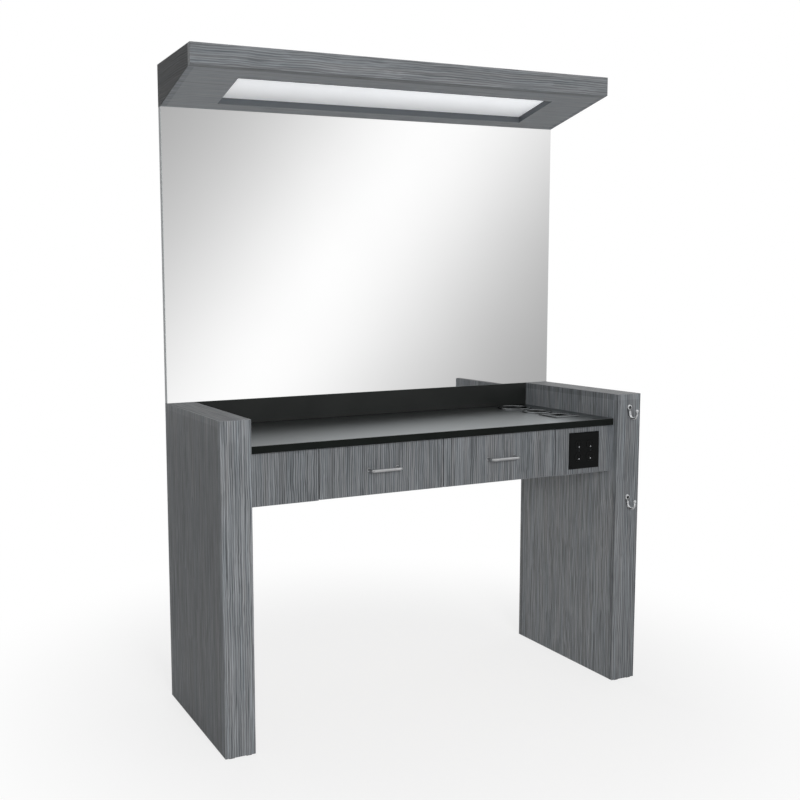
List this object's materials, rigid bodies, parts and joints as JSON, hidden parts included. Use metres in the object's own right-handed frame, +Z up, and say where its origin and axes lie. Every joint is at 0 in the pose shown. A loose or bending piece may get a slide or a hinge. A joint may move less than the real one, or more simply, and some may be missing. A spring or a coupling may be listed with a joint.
{
  "type": "salon station",
  "caption": "Salon styling station: box legs, black counter with drawers, tool holders, outlets and hooks, a tall mirror and a sloping lighted canopy.",
  "frame": {"origin": "on the floor, at the middle of the footprint, hooks included", "axes": "+Z up; the working side faces -Y and the flat back +Y; +X to the right of someone who faces the mirror"},
  "size_m": [1.465, 0.54, 2],
  "materials": {
    "grey_laminate": "grey woodgrain laminate on board, satin",
    "black_laminate": "black laminate on board, semi-gloss",
    "core_board": "plain particle board",
    "drawer_board": "white melamine board",
    "glide_plastic": "black nylon",
    "outlet_plastic": "black thermoset, semi-gloss",
    "box_plastic": "moulded plastic box",
    "zinc_steel": "bright zinc plate",
    "strap_steel": "powder coat",
    "holder_metal": "dark satin metal",
    "hook_chrome": "polished chrome",
    "pull_nickel": "satin nickel",
    "mirror_silver": "silvered float glass",
    "mastic": "mirror mastic",
    "opal_sheet": "opal acrylic",
    "tube_glass": "frosted tube",
    "lamp_plastic": "white lamp holder",
    "driver_paint": "white enamel"
  },
  "bodies": {
    "station": {"leg_left_front_panel": "grey_laminate", "leg_left_outer_panel": "grey_laminate", "leg_left_top_cap": "grey_laminate", "leg_right_front_panel": "grey_laminate", "leg_right_outer_panel": "grey_laminate", "leg_right_top_cap": "grey_laminate", "leg_left_inner_panel": "grey_laminate", "leg_right_inner_panel": "grey_laminate", "leg_left_back_panel": "grey_laminate", "leg_right_back_panel": "grey_laminate", "leg_core_rails": "core_board", "floor_glides": "glide_plastic", "counter_top": "black_laminate", "backsplash": "black_laminate", "counter_cleats": "core_board", "apron_back_rail": "grey_laminate", "apron_bottom_panel": "core_board", "drawer_dividers": "core_board", "left_fixed_fascia": "grey_laminate", "right_fixed_fascia": "grey_laminate", "outlet_plate": "outlet_plastic", "outlet_receptacles": "outlet_plastic", "outlet_box": "box_plastic", "dryer_holder": "holder_metal", "iron_holder": "holder_metal", "square_holder": "holder_metal", "leg_hooks": "hook_chrome", "mirror_glass": "mirror_silver", "mirror_mastic_pads": "mastic", "mirror_backing_board": "grey_laminate", "back_left_strap": "strap_steel", "back_right_strap": "strap_steel", "canopy_front_fascia": "grey_laminate", "canopy_left_end": "grey_laminate", "canopy_right_end": "grey_laminate", "canopy_top_panel": "grey_laminate", "canopy_back_rail": "grey_laminate", "canopy_soffit": "grey_laminate", "light_diffuser": "opal_sheet", "diffuser_stops": "core_board", "light_tubes": "tube_glass", "lamp_holders": "lamp_plastic", "light_driver": "driver_paint", "slide_cabinet_members": "zinc_steel"},
    "drawer_left": {"drawer_left_front": "grey_laminate", "drawer_left_box_sides": "drawer_board", "drawer_left_box_ends": "drawer_board", "drawer_left_bottom": "drawer_board", "drawer_left_pull": "pull_nickel", "drawer_left_slide_members": "zinc_steel"},
    "left_slide_middles": {"drawer_left_slide_middles": "zinc_steel"},
    "drawer_right": {"drawer_right_front": "grey_laminate", "drawer_right_box_sides": "drawer_board", "drawer_right_box_ends": "drawer_board", "drawer_right_bottom": "drawer_board", "drawer_right_pull": "pull_nickel", "drawer_right_slide_members": "zinc_steel"},
    "right_slide_middles": {"drawer_right_slide_middles": "zinc_steel"}
  },
  "joints": [
    {"name": "left_drawer_slide", "type": "slide", "parent": "station", "child": "drawer_left", "axis": [0, -1, 0], "range_m": [0, 0.38]},
    {"name": "left_middle_slide", "type": "slide", "parent": "station", "child": "left_slide_middles", "axis": [0, -1, 0], "range_m": [0, 0.19]},
    {"name": "right_drawer_slide", "type": "slide", "parent": "station", "child": "drawer_right", "axis": [0, -1, 0], "range_m": [0, 0.38]},
    {"name": "right_middle_slide", "type": "slide", "parent": "station", "child": "right_slide_middles", "axis": [0, -1, 0], "range_m": [0, 0.19]}
  ],
  "couplings": [
    {"joint": "left_middle_slide", "follows": "left_drawer_slide", "ratio": 0.5},
    {"joint": "right_middle_slide", "follows": "right_drawer_slide", "ratio": 0.5}
  ]
}
